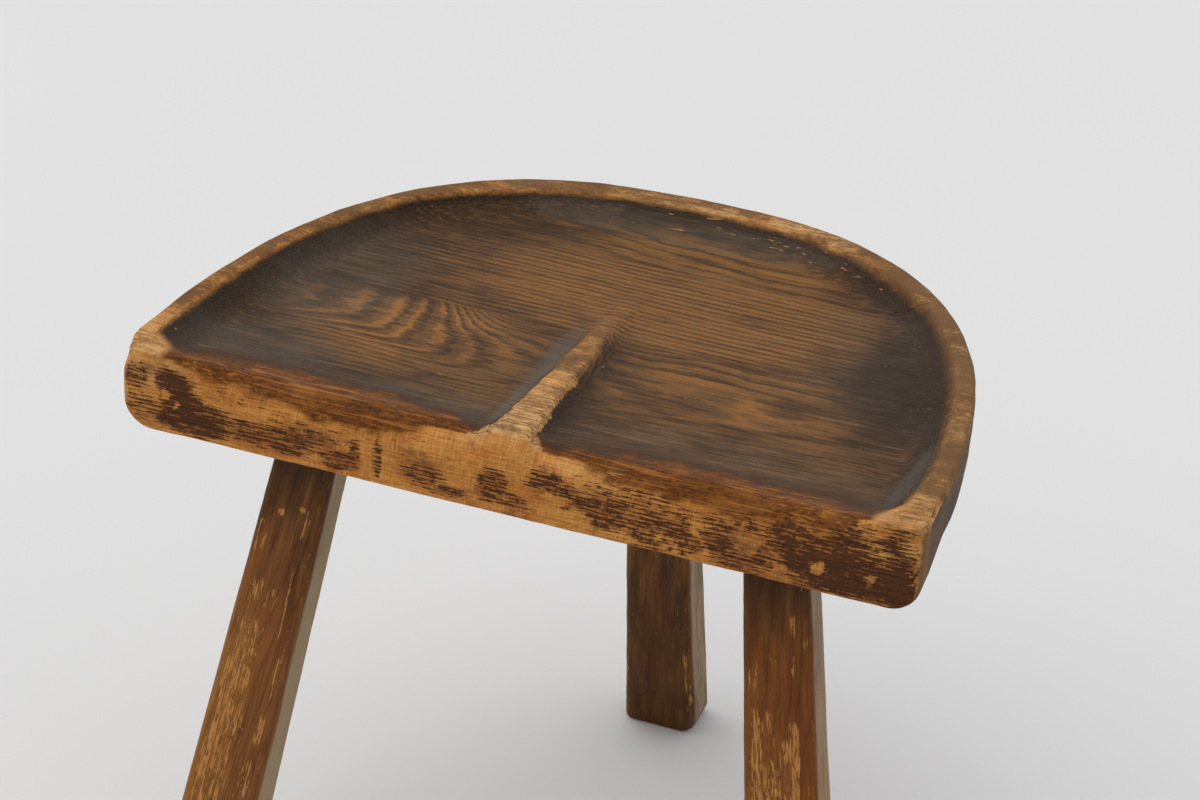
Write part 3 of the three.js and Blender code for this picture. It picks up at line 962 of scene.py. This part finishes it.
def bare_colour(n, grain):
    """Bare wood, pale where it is straw, and browned by dirt and old finish"""
    straw = n.attribute("straw")
    tick = n.times(n.band(grain.hair, 0.57, 0.66), n.band(grain.speck, 0.4, 0.6, 0.2, 0.9))
    smear = n.add(n.attribute("grime"), n.swing(grain.cloud, 1.3), n.swing(grain.speck, 1.2))
    dirt = n.mix(grain.speck, rgb(64, 44, 26), rgb(110, 80, 52))
    return n.layers(
        n.mix(n.band(grain.fine, 0.3, 0.7), rgb(176, 112, 48), rgb(204, 142, 70)),
        (n.times(n.band(grain.cloud, 0.42, 0.72), 0.75), rgb(168, 92, 34)),
        (n.times(n.band(grain.haze, 0.5, 0.75), 0.6), rgb(212, 162, 96)),
        (n.times(grain.late, n.band(grain.speck, 0.35, 0.6, 0.22, 0)), rgb(112, 63, 27)),
        (n.band(grain.strand, 0.52, 0.66, 0, 0.4), rgb(140, 82, 35)),
        (n.band(grain.rasp, 0.52, 0.68, 0, 0.6), rgb(212, 160, 98)),
        (n.band(grain.rasp, 0.46, 0.32, 0, 0.4), rgb(138, 80, 34)),
        (n.times(straw, 0.6), rgb(208, 174, 122)),
        (n.times(straw, n.band(grain.strand, 0.47, 0.58, 0, 0.8)), rgb(124, 80, 42)),
        (tick, rgb(92, 48, 22)),
        (n.band(smear, 0.18, 0.75, 0, 0.85), dirt))


def stain_colour(n, grain):
    """Stained wood, darker against the wall and the ridge with painted shade and some darker unworn
    stain, and greyed by a painted sheen
    """
    worn = n.attribute("worn")
    rub = n.add(worn, n.swing(grain.cloud, 1.1))
    gap = n.band(n.add(n.times(grain.speck, 0.5), n.times(grain.cloud, 0.8)), 0.48, 0.72)
    fray = n.times(n.band(grain.hair, 0.6, 0.72), n.band(worn, 0, 0.8, 0.3, 0.8))
    # Painted shade against the wall and on the ridge's right flank, partly darker unworn stain
    shade_and_stain_layer = n.band(n.add(n.attribute("dark"), n.swing(grain.cloud, 0.7)), 0.1, 0.9)
    # Painted sheen: a grey reflection laid into the colour
    sheen_layer = n.add(n.attribute("painted_sheen"), n.swing(grain.cloud, 0.6), n.swing(grain.fine, -0.7))
    scratch = n.band(n.noise(grain.fibre, (44, 0.7, 0.7), 2, 0.5, 0.4, shift=51), 0.68, 0.74)
    return n.layers(
        n.mix(n.band(rub, -0.05, 0.95), rgb(62, 45, 29), rgb(130, 90, 46)),
        (n.band(grain.fine, 0.36, 0.7, 0, 0.6), rgb(50, 33, 20)),
        (n.times(grain.late, n.band(worn, 0, 0.7, 0.2, 0.62)), rgb(40, 25, 15)),
        (n.band(grain.strand, 0.5, 0.62, 0, 0.28), rgb(44, 30, 19)),
        (n.band(grain.strand, 0.5, 0.36, 0, 0.22), rgb(142, 102, 58)),
        (n.times(grain.light, n.attribute("warm"), gap, 0.85), rgb(150, 98, 44)),
        (n.times(fray, 0.6), rgb(148, 108, 66)),
        (n.times(shade_and_stain_layer, 0.78), n.mix(grain.fine, rgb(52, 36, 22), rgb(28, 17, 9))),
        (n.band(sheen_layer, 0.1, 1, 0, 0.55), rgb(92, 87, 78)),
        (n.times(scratch, n.band(grain.speck, 0.4, 0.65, 0.1, 0.6)), rgb(166, 128, 84)))


def varnish_colour(n, grain, amber):
    """Red-brown varnish, thin and dull at its edge"""
    glow = n.times(n.band(grain.cloud, 0.5, 0.72, 0, 0.6), n.band(amber, 0.7, 1))
    return n.layers(
        n.mix(n.band(grain.speck, 0.35, 0.65), rgb(70, 34, 2), rgb(122, 68, 6)),
        (n.band(grain.fine, 0.45, 0.7, 0, 0.6), rgb(50, 26, 6)),
        (glow, rgb(144, 90, 30)),
        (n.band(grain.strand, 0.54, 0.64, 0, 0.5), rgb(176, 114, 50)),
        (n.band(amber, 1, 0.4, 0, 0.85), rgb(58, 36, 20)))


def pale_marks(n, grain):
    """Nicks and scuffs that show pale wood, and painted glints on the lip"""
    chips = n.noise(grain.fibre, (18, 3.4, 2), 3, 0.62, shift=37)
    nick_and_glint = n.band(n.add(chips, n.times(n.attribute("nicks_and_glints"), 0.09)), 0.73, 0.76)
    rough = n.noise(grain.fibre, (16, 6, 6), 2, 0.5, shift=17)
    scuff = n.times(n.band(rough, 0.5, 0.7), n.band(grain.dust, 0.7, 0.76))
    return n.times(n.math("MAXIMUM", nick_and_glint, scuff), 0.75)


def worn_through(n, grain):
    """Wear through to bare wood, in flecks that follow the fibres"""
    fleck = n.add(n.times(grain.fine, 0.4), n.times(grain.speck, 0.35), n.times(grain.dust, 0.25))
    bare = n.band(n.add(n.attribute("bare"), n.swing(fleck, 1.6)), 0.44, 0.56)
    rubbed = n.add(n.attribute("rubbed"), n.swing(fleck, 0.7))
    return n.math("MAXIMUM", bare, n.band(rubbed, 0.15, 0.85))


def paint_flakes(n, grain, paint):
    """Paint left on the bare wood, with edges that break up along the grain"""
    flake = n.add(n.times(n.noise(grain.fibre, (12, 0.85, 0.85), 5, 0.66, shift=21), 0.72),
                  n.times(n.noise(grain.fibre, (3.4, 3.4, 3.4), 3, 0.6, shift=5), 0.28),
                  n.times(n.math("SUBTRACT", grain.late, 0.35), 0.07))
    left = n.band(n.add(paint, n.swing(flake, 3.4)), 0.56, 0.64)
    return n.times(left, n.band(paint, 0.05, 0.3))


def seat_wood():
    n = Nodes(bpy.data.materials.new("seat_wood"))
    grain = seat_grain(n)
    amber = n.attribute("amber")
    paint = n.attribute("paint")
    varnish = n.add(amber, n.swing(grain.speck, 0.5), n.swing(grain.cloud, 0.4))
    brown_film = n.add(paint, n.swing(grain.cloud, 0.8))
    bare = worn_through(n, grain)
    flakes = paint_flakes(n, grain, paint)
    colour = n.layers(
        stain_colour(n, grain),
        (n.band(varnish, 0, 0.6), varnish_colour(n, grain, amber)),
        (pale_marks(n, grain), rgb(176, 128, 80)),
        (bare, bare_colour(n, grain)),
        (n.band(brown_film, 0.15, 0.8, 0, 0.6), rgb(136, 80, 40)),
        (flakes, n.mix(n.band(grain.fine, 0.3, 0.7), rgb(62, 34, 17), rgb(90, 54, 30))),
        (n.times(n.attribute("under"), 0.75),
         n.mix(grain.cloud, rgb(88, 62, 42), rgb(120, 88, 60))))

    gloss = n.add(n.times(bare, 0.14), n.times(amber, -0.08), n.times(n.attribute("dark"), -0.06),
                  n.band(grain.speck, 0.3, 0.7, -0.06, 0.06))
    height = n.add(n.times(grain.fine, 0.3), n.times(grain.late, n.band(bare, 0, 1, 0.4, 0.1)),
                   n.times(grain.rasp, bare, 0.3), n.times(flakes, 0.45),
                   n.times(grain.hair, 0.25), n.times(bare, -0.3), n.times(grain.speck, 0.25))
    return n.finish({"Base Color": colour, "Roughness": n.math("ADD", 0.56, gloss, clamp=True),
                     "Normal": n.bump(height, 0.4 * MM), "Specular IOR Level": 0.1})


def leg_wood():
    n = Nodes(bpy.data.materials.new("leg_wood"))
    fibre = n.vector("fibre")
    late, _ = ring_lines(n, n.attribute("ring"), fibre)
    fine = n.noise(fibre, (42, 0.8, 0.8), 4, 0.6, shift=2)
    cloud = n.noise(fibre, (50, 9, 9), 4, 0.62, shift=5)
    haze = n.noise(fibre, (90, 24, 24), 2, 0.5, shift=15)
    speck = n.noise(fibre, (8, 1.6, 1.6), 4, 0.7, shift=9)
    streak = n.noise(fibre, (26, 1.1, 1.1), 4, 0.65, shift=3)

    # Varnish that goes from olive through red-brown to gold, with a painted grey sheen on the legs'
    # sides and painted shade just below the seat
    gold = n.add(n.attribute("gold"), n.swing(cloud, 0.9))
    faded = n.add(n.attribute("faded"), n.swing(cloud, 0.9), n.swing(streak, 0.9))
    grime = n.times(n.attribute("foot"), n.band(speck, 0.3, 0.6))
    varnish = n.layers(
        n.mix(n.band(cloud, 0.3, 0.7), rgb(78, 50, 24), rgb(108, 70, 32)),
        (n.band(gold, 0.05, 0.4, 0, 0.9), rgb(134, 84, 42)),
        (n.band(gold, 0.45, 1.1, 0, 0.9), rgb(166, 112, 50)),
        (n.times(n.attribute("red"), 0.7), rgb(126, 68, 20)),
        (n.band(haze, 0.5, 0.66, 0, 0.35), rgb(84, 44, 18)),
        (n.band(fine, 0.42, 0.7, 0, 0.5), rgb(60, 30, 10)),
        (n.times(late, 0.3), rgb(58, 30, 10)),
        (n.times(n.attribute("shade"), 0.7), rgb(38, 23, 10)),
        (n.band(faded, 0.1, 1, 0, 0.95), rgb(158, 134, 98)),
        (n.times(grime, 0.6), rgb(50, 36, 24)))

    # Chips through the varnish to bare wood
    fleck = n.add(n.times(speck, 0.45), n.times(streak, 0.35), n.times(fine, 0.2))
    chip = n.band(n.add(n.attribute("bare"), n.swing(fleck, 3.2)), 0.58, 0.7)
    bare = n.mix(n.band(fine, 0.3, 0.7), rgb(160, 102, 46), rgb(196, 142, 80))
    colour = n.mix(n.times(chip, 0.9), varnish, bare)
    roughness = n.add(0.46, n.times(chip, 0.2), n.band(speck, 0.3, 0.7, -0.05, 0.05))
    height = n.add(n.times(fine, 0.3), n.times(late, 0.25), n.times(chip, -0.7),
                   n.times(speck, 0.2))
    return n.finish({"Base Color": colour, "Roughness": roughness,
                     "Normal": n.bump(height, 0.35 * MM), "Specular IOR Level": 0.12})


def wedge_wood():
    n = Nodes(bpy.data.materials.new("wedge_wood"))
    place = n.node("TexCoord", {}).outputs["Object"]
    fine = n.noise(place, (0.0008, 0.0008, 0.02), 4)
    colour = n.mix(n.band(fine, 0.3, 0.7), rgb(176, 138, 92), rgb(208, 172, 124))
    return n.finish({"Base Color": colour, "Roughness": 0.7, "Normal": n.bump(fine, 0.1 * MM)})


def floor_paper():
    n = Nodes(bpy.data.materials.new("floor_paper"))
    place = n.node("TexCoord", {}).outputs["Object"]
    drift = n.noise(place, (1.3, 1.3, 1.3), 2)
    colour = n.mix(drift, rgb(214, 214, 214), rgb(222, 222, 222))
    return n.finish({"Base Color": colour, "Roughness": 0.9, "Specular IOR Level": 0.1})


def studio_sky():
    """Light from all round, brighter behind the stool than on the camera's side"""
    n = Nodes(bpy.data.worlds.new("studio"))
    direction = n.node("TexCoord", {}).outputs["Generated"]
    inputs = {"Value": n.node("SeparateXYZ", {0: direction}).outputs["Y"],
              "From Min": -1, "From Max": 0.6, "To Min": 0.42, "To Max": 0.96}
    strength = n.node("MapRange", inputs).outputs[0]
    return n.finish({"Color": (0.99, 0.99, 1, 1), "Strength": strength}, "Background",
                    "OutputWorld")


# The seat's three boards

seat_material = seat_wood()
blank = seat_blank()
edges = (-SEAT_DEPTH, *GLUE_LINES, 2 * SEAT_DEPTH)
growth = (front_board_rings, middle_board_rings, rear_board_rings)
for name, start, end, year_rings in zip(("front", "middle", "rear"), edges, edges[1:], growth):
    board = to_object(f"board_{name}", *blank)
    sink(board, seat_dents)
    combine(board, slab(start + GLUE_GAP / 2, end - GLUE_GAP / 2), "INTERSECT")
    for leg in LEGS.values():
        if start - 2 * TENON_RADIUS < leg["head"][1] < end + 2 * TENON_RADIUS:
            turns = np.linspace(0, 2 * math.pi, 49)[:-1]
            rings = tenon_rings(leg, turns, GLUE_GAP, level=UNDERSIDE - TENON_RADIUS)
            combine(board, to_object("mortise", *closed_loft(rings)), "DIFFERENCE")
    seat_wear(board, year_rings)
    finish_piece(board, seat_material)
    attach(board, "root")
    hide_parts(f"seat_board_{name}")

# The legs, and the wedges inside their tenons

leg_material = leg_wood()
wedge_material = wedge_wood()
for name, leg in LEGS.items():
    stick = to_object(f"stick_{name}", *leg_shape(leg))
    sink(stick, leg_dents)
    combine(stick, to_object("saw_cut", *wedge_shape(leg, GLUE_GAP)), "DIFFERENCE")
    leg_wear(stick, name)
    finish_piece(stick, leg_material)
    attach(stick, "root")
    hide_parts(f"leg_{name}")
    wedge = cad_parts[f"wedge_{name}"]
    wedge.data.materials.clear()
    wedge.data.materials.append(wedge_material)

# Floor, light and camera

FLOOR_REACH = 9000
corners = [(x, y, 0) for x, y in ((-1, -1), (1, -1), (1, 1), (-1, 1))]
floor = to_object("floor", FLOOR_REACH * np.array(corners), [(0, 1, 2, 3)])
floor.data.materials.append(floor_paper())

bpy.context.scene.world = studio_sky()

# One broad lamp, high on the left of the camera
lamp = bpy.data.lights.new("window", "SUN")
lamp.energy = 1.3
lamp.angle = math.radians(75)
lamp.color = (1.0, 0.985, 0.96)
holder = bpy.data.objects.new("window", lamp)
bpy.context.scene.collection.objects.link(holder)
holder.matrix_world = Vector((0.62, 0.3, -1.0)).to_track_quat("-Z", "Y").to_matrix().to_4x4()

# The photograph's camera, solved from the stool's outlines
AZIMUTH = math.radians(18.979)
ELEVATION = math.radians(28.59)
ROLL = math.radians(3.574)
DISTANCE = 1454
AIM = np.array([32.076, 56.061, SEAT_HEIGHT])
FOCAL_PIXELS = 2751
PHOTO_WIDTH = 1200
SENSOR = 36

back = np.array([math.sin(AZIMUTH) * math.cos(ELEVATION),
                 -math.cos(AZIMUTH) * math.cos(ELEVATION), math.sin(ELEVATION)])
eye = (AIM + back * DISTANCE + OFFSET) * MM
right = np.cross(-back, (0, 0, 1))
right /= np.linalg.norm(right)
up = np.cross(right, -back)
tilted_right = math.cos(ROLL) * right + math.sin(ROLL) * up
tilted_up = math.cos(ROLL) * up - math.sin(ROLL) * right
camera = bpy.data.objects.new("camera", bpy.data.cameras.new("camera"))
bpy.context.scene.collection.objects.link(camera)
camera.data.sensor_width = SENSOR
camera.data.lens = FOCAL_PIXELS * SENSOR / PHOTO_WIDTH
axes = np.column_stack([tilted_right, tilted_up, back, eye])
camera.matrix_world = Matrix([*axes.tolist(), [0, 0, 0, 1]])
bpy.context.scene.camera = camera
bpy.context.scene.view_settings.view_transform = "Standard"
